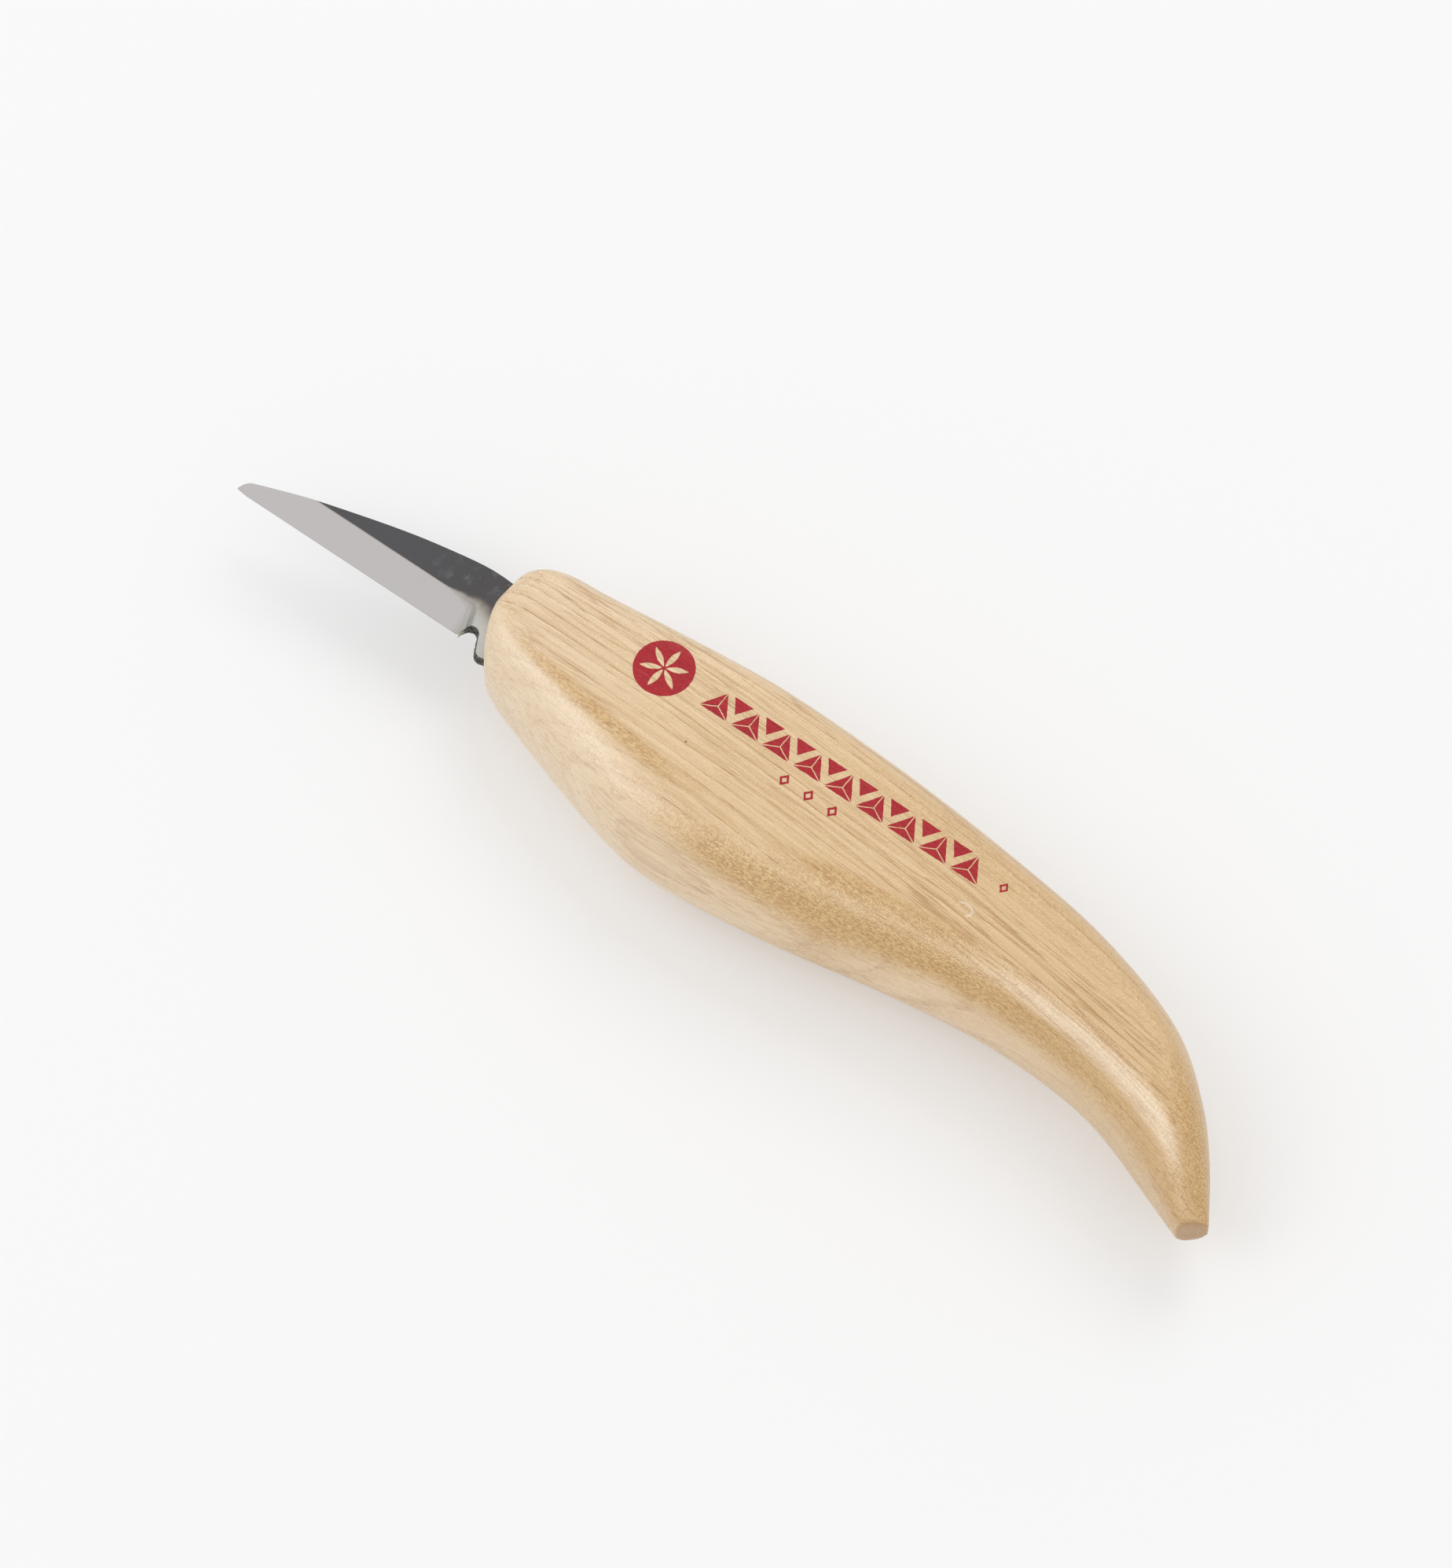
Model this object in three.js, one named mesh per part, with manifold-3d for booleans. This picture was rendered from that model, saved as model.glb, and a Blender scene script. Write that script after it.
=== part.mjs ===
// Chip carving knife: a short straight-edged blade whose tang is glued into a
// one-piece curved wooden handle.
//
// Millimetres, +Z up. The knife lies on its side. While it is drawn, X runs
// from the blade's tip (X = 0) to the butt of the handle, Y runs from the
// cutting edge's side to the spine's side, and Z = 0 is the middle of the
// thickness. At the end the whole group is moved so that the origin is the
// bottom centre of its box.

import * as THREE from 'three';
import { mergeVertices } from 'three/addons/utils/BufferGeometryUtils.js';
import Module from 'manifold-3d';

const wasm = await Module();
wasm.setup();

// ---------------------------------------------------------------- dimensions

// Blade
const BLADE_THICKNESS = 1.8;
const EDGE_THICKNESS = 0.2;
const HEEL = new THREE.Vector2(36.5, 3.1);
const BEVEL_WIDTH = 4.3;
const BEVEL_REAR = { atEdge: 1.3, atShoulder: -0.6, lean: 1.4 };
const NOTCH_CENTRE = new THREE.Vector2(38.0, 3.68);
const NOTCH_RADIUS = 1.2;
const STUB_CENTRE = new THREE.Vector2(41.1, 2.95);
const STUB_RADIUS = 1.05;

// Tang, mortise and adhesive, drawn along the tang's own axis
const TANG_ROOT = new THREE.Vector2(40, 7.7);
const TANG_ANGLE = THREE.MathUtils.degToRad(2.5);
const SHOULDER = { along: 6, halfWidth: 4.5 };
const TANG_END = { along: 51, halfWidth: 2.9, round: 1.6 };
const MORTISE_MOUTH = { along: 2.5, halfWidth: 6.4 };
const MORTISE_WAIST = { along: 7.5, halfWidth: 5.2 };
const MORTISE_END = { along: 56, halfWidth: 4.7 };
const GLUE_START = 20;
const FIT_GAP = 0.3;

// Handle
const HANDLE_THICKNESS = 21;
const SIDE_WALL = 2;
const RIDGE_FLAT = 0.5;
const NOSE_BULGE = 2.6;
const NOSE_BULGE_LENGTH = 0.12;

// The handle's outline: pairs of points across it, from the nose to the butt.
// A place along the handle is counted from 0 at the nose to 1 at the butt.
const HANDLE_STATIONS = [
  { spine: [41.5, 15.75], belly: [43.2, 0.6] },
  { spine: [44, 17.45], belly: [45.7, -0.7] },
  { spine: [50, 18.6], belly: [52, -2.4] },
  { spine: [66, 21.7], belly: [67, -5.7] },
  { spine: [77, 23.4], belly: [76, -6.6] },
  { spine: [96, 24.5], belly: [93, -3.7] },
  { spine: [115, 24.4], belly: [111, 1.2] },
  { spine: [131, 23.3], belly: [125.5, 4.3] },
  { spine: [146, 19.5], belly: [139.5, 5] },
  { spine: [154.5, 14], belly: [147.5, 3.8] },
  { spine: [160, 8.7], belly: [154, 1.9] },
  { spine: [165.4, 2], belly: [162.5, -1] },
];

// The handle keeps its full thickness except at its ends, where half of it drops
// to endHalf over a share of the length.
const NOSE_EASE = { length: 0.1, endHalf: 8, power: 2.5 };
const TAIL_TAPER = { length: 0.2, endHalf: 2.6, power: 1.9 };

// Width of the rounding on each side of the flats, seen from above, as pairs of
// a place along the handle and millimetres.
const SPINE_ROUNDING = [[0, 4], [0.1, 5], [0.7, 5], [0.9, 4], [1, 3]];
const BELLY_ROUNDING = [[0, 6.5], [0.1, 8.5], [0.7, 8.5], [0.9, 8], [1, 4]];

// Where the two roundings meet in a ridge, the spine side's share of the width.
const RIDGE_SHARE = [[0.85, 0.4], [1, 0.6]];

const HANDLE_STEPS = 60;
const ROUNDING_STEPS = 7;

// ------------------------------------------------------------------ materials

const steel = new THREE.MeshStandardMaterial({
  color: 0x9d9c9b,
  roughness: 0.35,
  metalness: 1,
});
const ash = new THREE.MeshStandardMaterial({
  color: 0xdcc09a,
  roughness: 0.45,
  metalness: 0,
});
const epoxy = new THREE.MeshStandardMaterial({
  color: 0xb79a5e,
  roughness: 0.3,
  metalness: 0,
});

// -------------------------------------------------------------------- helpers

// Straight-line reading of a list of [place, value] pairs.
function valueAt(pairs, place) {
  const next = pairs.findIndex(([at]) => at >= place);
  if (next === 0) return pairs[0][1];
  if (next === -1) return pairs[pairs.length - 1][1];
  const [at0, value0] = pairs[next - 1];
  const [at1, value1] = pairs[next];
  const share = (place - at0) / (at1 - at0);
  return THREE.MathUtils.lerp(value0, value1, share);
}

// Points on a circle between two angles in degrees, both ends included.
function arcPoints(centre, radius, fromDegrees, toDegrees, steps) {
  const points = [];
  for (let i = 0; i <= steps; i += 1) {
    const degrees = THREE.MathUtils.lerp(fromDegrees, toDegrees, i / steps);
    const angle = THREE.MathUtils.degToRad(degrees);
    const offset = new THREE.Vector2(Math.cos(angle), Math.sin(angle));
    points.push(offset.multiplyScalar(radius).add(centre));
  }
  return points;
}

// A point given along and across the tang's axis, in the drawing's X and Y.
function onTang(along, across) {
  const point = new THREE.Vector2(along, across);
  return point.rotateAround(new THREE.Vector2(), TANG_ANGLE).add(TANG_ROOT);
}

// A flat plate with the given outline, centred on Z = 0.
function plate(outline, thickness) {
  const geometry = new THREE.ExtrudeGeometry(new THREE.Shape(outline), {
    depth: thickness,
    bevelEnabled: false,
  });
  return geometry.translate(0, 0, -thickness / 2);
}

function toSolid(geometry) {
  const bare = new THREE.BufferGeometry();
  bare.setAttribute('position', geometry.getAttribute('position'));
  if (geometry.index) bare.setIndex(geometry.index);
  const merged = mergeVertices(bare, 1e-4);
  return new wasm.Manifold(new wasm.Mesh({
    numProp: 3,
    vertProperties: new Float32Array(merged.attributes.position.array),
    triVerts: new Uint32Array(merged.index.array),
  }));
}

function toGeometry(solid) {
  const { vertProperties, triVerts } = solid.getMesh();
  const geometry = new THREE.BufferGeometry();
  const position = new THREE.BufferAttribute(vertProperties, 3);
  geometry.setAttribute('position', position);
  geometry.setIndex(new THREE.BufferAttribute(triVerts, 1));
  geometry.computeVertexNormals();
  return geometry;
}

function named(name, geometry, material) {
  const mesh = new THREE.Mesh(geometry, material);
  mesh.name = name;
  return mesh;
}

// ---------------------------------------------------------------------- blade

// The blade and its tang are one plate. The outline runs along the edge, round
// the notch behind the heel and the stub beside it, down one side of the tang,
// back up the other, and along the spine to the blunt rounded tip.
function bladeOutline() {
  const notch = arcPoints(NOTCH_CENTRE, NOTCH_RADIUS, 165, 20, 12);
  const stub = arcPoints(STUB_CENTRE, STUB_RADIUS, 215, 300, 8);
  const endCentre = TANG_END.along - TANG_END.round;
  const tang = [
    onTang(SHOULDER.along, -SHOULDER.halfWidth),
    onTang(endCentre, -TANG_END.halfWidth),
    onTang(TANG_END.along, -TANG_END.halfWidth + TANG_END.round),
    onTang(TANG_END.along, TANG_END.halfWidth - TANG_END.round),
    onTang(endCentre, TANG_END.halfWidth),
    onTang(SHOULDER.along, SHOULDER.halfWidth),
  ];
  const spine = new THREE.SplineCurve([
    new THREE.Vector2(41, 12.9),
    new THREE.Vector2(34.3, 12.75),
    new THREE.Vector2(27, 11.1),
    new THREE.Vector2(19.6, 8.85),
    new THREE.Vector2(9.1, 5),
    new THREE.Vector2(4, 2.9),
    new THREE.Vector2(1.6, 1.85),
    new THREE.Vector2(0.9, 1.5),
    new THREE.Vector2(0.3, 0.8),
    new THREE.Vector2(0, 0),
  ]);
  return [HEEL, ...notch, ...stub, ...tang, ...spine.getPoints(44)];
}

// The waste ground off one face. Its floor starts at the edge and climbs to the
// full thickness. Its rear wall leans, and meets the notch just behind the heel.
function bevelWaste(side) {
  const low = EDGE_THICKNESS / 2;
  const full = BLADE_THICKNESS / 2;
  const clear = 3;
  const lowest = low - (clear * (full - low)) / BEVEL_WIDTH;
  const rearLow = HEEL.length() + BEVEL_REAR.atEdge;
  const rearHigh = HEEL.length() + BEVEL_REAR.atShoulder;
  const point = (along, across, z) => [along, across, side * z];
  const corners = [
    point(-clear, -clear, lowest),
    point(rearLow, -clear, lowest),
    point(rearLow + BEVEL_REAR.lean, -clear, full + clear),
    point(-clear, -clear, full + clear),
    point(-clear, BEVEL_WIDTH, full),
    point(rearHigh, BEVEL_WIDTH, full),
    point(rearHigh + BEVEL_REAR.lean, BEVEL_WIDTH, full + clear),
    point(-clear, BEVEL_WIDTH, full + clear),
  ];
  const faces = [
    [0, 1, 2], [0, 2, 3], [4, 6, 5], [4, 7, 6],
    [0, 4, 5], [0, 5, 1], [1, 5, 6], [1, 6, 2],
    [2, 6, 7], [2, 7, 3], [3, 7, 4], [3, 4, 0],
  ];
  const outward = side > 0 ? faces : faces.map(([a, b, c]) => [a, c, b]);
  const geometry = new THREE.BufferGeometry();
  const position = new THREE.Float32BufferAttribute(corners.flat(), 3);
  geometry.setAttribute('position', position);
  geometry.setIndex(outward.flat());
  return geometry.rotateZ(HEEL.angle());
}

function bladeGeometry() {
  const blank = toSolid(plate(bladeOutline(), BLADE_THICKNESS));
  const ground = blank
    .subtract(toSolid(bevelWaste(1)))
    .subtract(toSolid(bevelWaste(-1)));
  return toGeometry(ground);
}

// --------------------------------------------------------------------- handle

function halfThicknessAt(place) {
  const full = HANDLE_THICKNESS / 2;
  const noseShare = Math.max(0, 1 - place / NOSE_EASE.length);
  const tailShare = Math.max(0, 1 - (1 - place) / TAIL_TAPER.length);
  const noseDrop = (full - NOSE_EASE.endHalf) * noseShare ** NOSE_EASE.power;
  const tailDrop = (full - TAIL_TAPER.endHalf) * tailShare ** TAIL_TAPER.power;
  return full - noseDrop - tailDrop;
}

// The upper half of one cross-section, from the belly side to the spine side:
// a quarter-ellipse rounding, the flat, and a second rounding.
function sectionTop(place, spineCurve, bellyCurve) {
  const spine = spineCurve.getPoint(place);
  const belly = bellyCurve.getPoint(place);
  const across = spine.clone().sub(belly);
  const width = across.length();
  across.normalize();
  let spineRound = valueAt(SPINE_ROUNDING, place);
  let bellyRound = valueAt(BELLY_ROUNDING, place);
  if (spineRound + bellyRound > width - RIDGE_FLAT) {
    spineRound = (width - RIDGE_FLAT) * valueAt(RIDGE_SHARE, place);
    bellyRound = width - RIDGE_FLAT - spineRound;
  }
  const halfThickness = halfThicknessAt(place);
  const wall = Math.min(SIDE_WALL / 2, halfThickness * 0.3);
  const points = [];
  const addPoint = (distance, rise) => {
    const share = distance / width;
    const fade = 1 - THREE.MathUtils.smoothstep(place, 0, NOSE_BULGE_LENGTH);
    const bulge = NOSE_BULGE * fade * (1 - (2 * share - 1) ** 2);
    const plan = belly.clone().addScaledVector(across, distance);
    const z = wall + (halfThickness - wall) * rise;
    points.push(new THREE.Vector3(plan.x - bulge, plan.y, z));
  };
  for (let i = 0; i <= ROUNDING_STEPS; i += 1) {
    const angle = (Math.PI / 2) * (i / ROUNDING_STEPS);
    addPoint(bellyRound * (1 - Math.cos(angle)), Math.sin(angle));
  }
  for (let i = ROUNDING_STEPS; i >= 0; i -= 1) {
    const angle = (Math.PI / 2) * (i / ROUNDING_STEPS);
    addPoint(width - spineRound * (1 - Math.cos(angle)), Math.sin(angle));
  }
  return points;
}

// The handle's block is a stack of cross-sections, each mirrored below Z = 0,
// joined ring to ring and closed across both ends.
function handleBlock() {
  const curveOf = (side) => new THREE.CatmullRomCurve3(
    HANDLE_STATIONS.map((station) => new THREE.Vector3(...station[side], 0)),
  );
  const spineCurve = curveOf('spine');
  const bellyCurve = curveOf('belly');
  const vertices = [];
  let ringSize = 0;
  for (let i = 0; i <= HANDLE_STEPS; i += 1) {
    const top = sectionTop(i / HANDLE_STEPS, spineCurve, bellyCurve);
    const flip = new THREE.Vector3(1, 1, -1);
    const bottom = top.map((point) => point.clone().multiply(flip)).reverse();
    const ring = [...top, ...bottom];
    ringSize = ring.length;
    vertices.push(...ring);
  }
  const faces = [];
  for (let i = 0; i < HANDLE_STEPS; i += 1) {
    for (let j = 0; j < ringSize; j += 1) {
      const next = (j + 1) % ringSize;
      const a = i * ringSize + j;
      const b = i * ringSize + next;
      const c = a + ringSize;
      const d = b + ringSize;
      faces.push(a, c, d, a, d, b);
    }
  }
  const half = ringSize / 2;
  const last = HANDLE_STEPS * ringSize;
  for (let j = 0; j < half - 1; j += 1) {
    const below = ringSize - 1 - j;
    faces.push(j, j + 1, below - 1, j, below - 1, below);
    faces.push(last + j, last + below - 1, last + j + 1);
    faces.push(last + j, last + below, last + below - 1);
  }
  const geometry = new THREE.BufferGeometry();
  geometry.setFromPoints(vertices);
  geometry.setIndex(faces);
  return geometry;
}

// The mortise that takes the tang: a slot open at the nose.
function mortiseOutline() {
  const open = 14;
  return [
    onTang(-open, -MORTISE_MOUTH.halfWidth),
    onTang(MORTISE_MOUTH.along, -MORTISE_MOUTH.halfWidth),
    onTang(MORTISE_WAIST.along, -MORTISE_WAIST.halfWidth),
    onTang(MORTISE_END.along, -MORTISE_END.halfWidth),
    onTang(MORTISE_END.along, MORTISE_END.halfWidth),
    onTang(MORTISE_WAIST.along, MORTISE_WAIST.halfWidth),
    onTang(MORTISE_MOUTH.along, MORTISE_MOUTH.halfWidth),
    onTang(-open, MORTISE_MOUTH.halfWidth),
  ];
}

function handleGeometry() {
  const slot = plate(mortiseOutline(), BLADE_THICKNESS + 2 * FIT_GAP);
  return toGeometry(toSolid(handleBlock()).subtract(toSolid(slot)));
}

// ------------------------------------------------------------------- adhesive

// Half the width of a part that tapers evenly between two places.
function taperedHalfWidth(from, to, along) {
  const share = (along - from.along) / (to.along - from.along);
  return THREE.MathUtils.lerp(from.halfWidth, to.halfWidth, share);
}

// The cured adhesive fills the mortise beside the tapered tang and behind its
// end, so in plan it is a U with long thin legs.
function adhesiveOutline() {
  const outer = (along) => (
    taperedHalfWidth(MORTISE_WAIST, MORTISE_END, along) - FIT_GAP
  );
  const inner = (along) => (
    taperedHalfWidth(SHOULDER, TANG_END, along) + FIT_GAP
  );
  const back = MORTISE_END.along - FIT_GAP;
  const floor = TANG_END.along + FIT_GAP;
  return [
    onTang(GLUE_START, -outer(GLUE_START)),
    onTang(back, -outer(back)),
    onTang(back, outer(back)),
    onTang(GLUE_START, outer(GLUE_START)),
    onTang(GLUE_START, inner(GLUE_START)),
    onTang(floor, inner(floor)),
    onTang(floor, -inner(floor)),
    onTang(GLUE_START, -inner(GLUE_START)),
  ];
}

// ------------------------------------------------------------------- assembly

function chipCarvingKnife() {
  const knife = new THREE.Group();
  knife.add(
    named('blade_with_tang', bladeGeometry(), steel),
    named('handle', handleGeometry(), ash),
    named('tang_adhesive', plate(adhesiveOutline(), BLADE_THICKNESS), epoxy),
  );
  const box = new THREE.Box3().setFromObject(knife);
  const centre = box.getCenter(new THREE.Vector3());
  knife.position.set(-centre.x, -centre.y, -box.min.z);
  return knife;
}

export default chipCarvingKnife();
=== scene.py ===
import math

import bmesh
import bpy
import numpy as np
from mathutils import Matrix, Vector, noise
from mathutils.bvhtree import BVHTree
from mathutils.geometry import delaunay_2d_cdt


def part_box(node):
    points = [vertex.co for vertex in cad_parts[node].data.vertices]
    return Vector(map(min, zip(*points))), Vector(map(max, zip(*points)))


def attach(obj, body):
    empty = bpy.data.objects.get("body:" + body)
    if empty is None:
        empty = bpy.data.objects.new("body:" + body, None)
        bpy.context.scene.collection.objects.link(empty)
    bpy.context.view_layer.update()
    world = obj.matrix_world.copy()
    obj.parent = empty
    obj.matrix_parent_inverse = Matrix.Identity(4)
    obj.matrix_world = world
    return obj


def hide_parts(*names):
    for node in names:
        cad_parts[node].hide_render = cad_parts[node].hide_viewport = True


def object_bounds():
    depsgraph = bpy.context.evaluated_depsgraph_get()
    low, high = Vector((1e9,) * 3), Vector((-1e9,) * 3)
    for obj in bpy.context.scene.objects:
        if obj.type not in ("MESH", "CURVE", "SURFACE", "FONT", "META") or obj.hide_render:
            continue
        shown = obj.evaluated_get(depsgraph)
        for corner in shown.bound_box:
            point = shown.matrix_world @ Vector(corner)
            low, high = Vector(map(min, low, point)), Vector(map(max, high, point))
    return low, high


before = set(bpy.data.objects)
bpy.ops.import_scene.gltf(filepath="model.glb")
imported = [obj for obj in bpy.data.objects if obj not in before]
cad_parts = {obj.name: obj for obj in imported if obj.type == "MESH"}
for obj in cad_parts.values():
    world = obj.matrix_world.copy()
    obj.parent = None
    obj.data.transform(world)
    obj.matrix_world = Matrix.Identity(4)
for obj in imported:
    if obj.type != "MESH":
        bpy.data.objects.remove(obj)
CAD_LOW, CAD_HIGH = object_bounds()

# The knife lies on its side: +X runs from the blade's tip to the butt, +Y from the
# cutting edge's side to the spine's side, and +Z through the thickness.
# Sizes below are in millimetres unless they say otherwise, and MM turns them to metres.
MM = 0.001
CENTRE = (CAD_LOW + CAD_HIGH) / 2

# ------------------------------------------------------------------ camera and light

VIEW_TURN = math.radians(41.24)
VIEW_RISE = math.radians(63.0)
VIEW_DISTANCE = 1132.4 * MM
VIEW_LENS = 200
VIEW_SENSOR = 36
AIM = CENTRE + Vector((-5.19, 0.53, 0)) * MM
ROOM_LIGHT = 0.82


def from_view(right, away, up):
    """A direction given as the camera sees it, turned into the knife's frame."""
    c, s = math.cos(VIEW_TURN), math.sin(VIEW_TURN)
    return Vector((right * c - away * s, right * s + away * c, up)).normalized()


def point_at(thing, target):
    """Turns a camera or a lamp so that it looks at a point."""
    thing.rotation_mode = "QUATERNION"
    thing.rotation_quaternion = (target - thing.location).to_track_quat("-Z", "Y")


def add_camera():
    camera = bpy.data.objects.new("camera", bpy.data.cameras.new("camera"))
    bpy.context.scene.collection.objects.link(camera)
    camera.data.lens = VIEW_LENS
    camera.data.sensor_width = VIEW_SENSOR
    camera.data.clip_start = 50 * MM
    camera.data.clip_end = 20000 * MM
    back = from_view(0, -math.cos(VIEW_RISE), math.sin(VIEW_RISE))
    camera.location = AIM + back * VIEW_DISTANCE
    point_at(camera, AIM)
    bpy.context.scene.camera = camera


def add_softbox(name, direction, distance, width, height, watts, glossy_only=False):
    """A rectangular lamp at a distance (metres) in a direction from the knife. A
    glossy-only one is seen in reflections and casts no light or shadow."""
    lamp = bpy.data.lights.new(name, "AREA")
    lamp.shape = "RECTANGLE"
    lamp.size = width
    lamp.size_y = height
    lamp.energy = watts
    holder = bpy.data.objects.new(name, lamp)
    bpy.context.scene.collection.objects.link(holder)
    holder.location = AIM + direction * distance
    point_at(holder, AIM)
    holder.visible_diffuse = not glossy_only


def add_world(strength):
    world = bpy.data.worlds.new("studio")
    world.use_nodes = True
    background = world.node_tree.nodes["Background"]
    background.inputs["Color"].default_value = (1, 1, 1, 1)
    background.inputs["Strength"].default_value = strength
    bpy.context.scene.world = world


def add_lighting():
    bpy.context.scene.view_settings.view_transform = "Standard"
    add_world(ROOM_LIGHT)
    add_softbox("left", from_view(-0.6, -0.2, 0.77), 1.6, 0.9, 0.9, 3.4)
    add_softbox("back", from_view(0.3, 0.55, 0.78), 1.8, 1.0, 1.0, 6.0)
    add_softbox("left_shine", from_view(-0.66, -0.33, 0.70), 1.61, 1.3, 1.2, 14.0, True)
    add_softbox("back_shine", from_view(0.2, 0.8, 0.55), 2.0, 1.6, 0.8, 8, True)


# ----------------------------------------------------------------------- node helper


class Shader:
    """A material whose nodes are made by short calls. A value may be a number, a
    colour or a socket; sockets are linked, and the rest are set."""

    def __init__(self, name):
        self.material = bpy.data.materials.new(name)
        self.material.use_nodes = True
        self.tree = self.material.node_tree
        self.surface = self.tree.nodes["Principled BSDF"]

    def set(self, socket, value):
        if isinstance(value, bpy.types.NodeSocket):
            self.tree.links.new(value, socket)
        elif hasattr(value, "__len__") and len(value) == 3 and socket.type == "RGBA":
            socket.default_value = (*value, 1)
        else:
            socket.default_value = value

    def node(self, kind, inputs=(), output=0, **settings):
        made = self.tree.nodes.new(kind)
        for key, value in settings.items():
            setattr(made, key, value)
        for key, value in dict(inputs).items():
            self.set(made.inputs[key], value)
        return made.outputs[output]

    def math(self, operation, a, b=0.0):
        return self.node("ShaderNodeMath", {0: a, 1: b}, operation=operation)

    def vector(self, operation, a, b):
        return self.node("ShaderNodeVectorMath", {0: a, 1: b}, operation=operation)

    def length(self, vector):
        return self.node("ShaderNodeVectorMath", {0: vector}, 1, operation="LENGTH")

    def one_dimensional(self, kind, value, **inputs):
        """A texture that changes along one number only."""
        return self.node(kind, {"W": value, **inputs}, noise_dimensions="1D")

    def attribute(self, name):
        """A number saved on each vertex of the mesh."""
        return self.node("ShaderNodeAttribute", output=2, attribute_name=name)

    def place(self):
        """The point's place in the frame, in millimetres."""
        found = self.node("ShaderNodeTexCoord", output=3)
        return self.vector("MULTIPLY", found, (1 / MM, 1 / MM, 1 / MM))

    def split(self, vector):
        made = self.tree.nodes.new("ShaderNodeSeparateXYZ")
        self.set(made.inputs[0], vector)
        return made.outputs

    def noise(self, place, stretch, detail=2.0, rough=0.5):
        """Noise from 0 to 1 with so many waves to the millimetre along X, Y and Z."""
        scaled = self.vector("MULTIPLY", place, stretch)
        inputs = {"Vector": scaled, "Scale": 1.0, "Detail": detail, "Roughness": rough}
        return self.node("ShaderNodeTexNoise", inputs)

    def step(self, value, low, high, at_low=0.0, at_high=1.0):
        """A smooth climb from at_low to at_high as value goes from low to high."""
        inputs = {0: value, 1: low, 2: high, 3: at_low, 4: at_high}
        return self.node("ShaderNodeMapRange", inputs, interpolation_type="SMOOTHSTEP")

    def scale(self, value, low, high, at_low, at_high):
        """The same as step, but in a straight line."""
        inputs = {0: value, 1: low, 2: high, 3: at_low, 4: at_high}
        return self.node("ShaderNodeMapRange", inputs)

    def blend(self, share, a, b):
        """Colour a, with a share of colour b laid over it."""
        return self.node("ShaderNodeMix", {0: share, 6: a, 7: b}, 2, data_type="RGBA")

    def product(self, first, *others):
        for other in others:
            first = self.math("MULTIPLY", first, other)
        return first

    def bump(self, height, depth, normal=None):
        """Relief of a height from 0 to 1 that is depth millimetres deep."""
        inputs = {"Strength": 1.0, "Distance": depth * MM, "Height": height}
        if normal is not None:
            inputs["Normal"] = normal
        return self.node("ShaderNodeBump", inputs)

    def finish(self, **values):
        for key, value in values.items():
            self.set(self.surface.inputs[key.replace("_", " ")], value)
        return self.material


# ----------------------------------------------------------------------- mesh helper


def ease(share):
    """A share from 0 to 1, made to start and end gently."""
    return share * share * (3 - 2 * share)


def read_points(mesh):
    flat = np.empty(len(mesh.vertices) * 3, np.float64)
    mesh.vertices.foreach_get("co", flat)
    return flat.reshape(-1, 3)


def write_points(mesh, points):
    mesh.vertices.foreach_set("co", points.astype(np.float32).ravel())
    mesh.update()


def shade_smooth(mesh):
    mesh.polygons.foreach_set("use_smooth", np.ones(len(mesh.polygons), bool))


def neighbour_mean(mesh):
    """A function that turns one value per vertex into the mean of its neighbours'."""
    ends = np.empty(len(mesh.edges) * 2, np.int64)
    mesh.edges.foreach_get("vertices", ends)
    a, b = ends.reshape(-1, 2).T
    n = len(mesh.vertices)
    count = np.bincount(a, minlength=n) + np.bincount(b, minlength=n)

    def mean(values):
        return (np.bincount(a, values[b], n) + np.bincount(b, values[a], n)) / count

    return mean


def relax(mesh, amount, rounds):
    """Moves each vertex towards the middle of its neighbours, by its own share."""
    mean = neighbour_mean(mesh)
    points = read_points(mesh)
    for _ in range(rounds):
        middles = np.column_stack([mean(points[:, axis]) for axis in range(3)])
        points += amount[:, None] * (middles - points)
    write_points(mesh, points)


def save_layer(mesh, name, values):
    layer = mesh.attributes.new(name, "FLOAT", "POINT")
    layer.data.foreach_set("value", values.astype(np.float32))


MOST_PULLED_IN = 0.3 * MM
MOST_PUSHED_OUT = 0.5 * MM


def restore_bulk(mesh, node, rounds):
    """Smoothing draws a mesh inwards. This pushes it out again by as much as it has
    gone from the CAD node's surface, evened out so that no edge comes back."""
    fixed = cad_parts[node].data
    corners = [v.co for v in fixed.vertices]
    surface = BVHTree.FromPolygons(corners, [p.vertices[:] for p in fixed.polygons])
    points = read_points(mesh)
    normals = np.empty(len(points) * 3, np.float64)
    mesh.vertices.foreach_get("normal", normals)
    normals = normals.reshape(-1, 3)
    gone = np.zeros(len(points))
    for i, (point, normal) in enumerate(zip(points, normals)):
        near = surface.find_nearest(point)[0]
        gone[i] = np.dot(np.array(near) - point, normal)
    gone = np.clip(gone, -MOST_PULLED_IN, MOST_PUSHED_OUT)
    mean = neighbour_mean(mesh)
    for _ in range(rounds):
        gone += 0.5 * (mean(gone) - gone)
    write_points(mesh, points + normals * gone[:, None])


# Flat patterns, filled with triangles in the plane and then given a thickness

ROW_STEP = 0.87
RIM_GAP = 0.08


def spread(outline, spacing):
    """The same closed outline with points added, so that none are further apart."""
    points = []
    for a, b in zip(outline, outline[1:] + outline[:1]):
        parts = max(1, math.ceil((b - a).length / spacing))
        points += [a.lerp(b, i / parts) for i in range(parts)]
    return points


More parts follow.
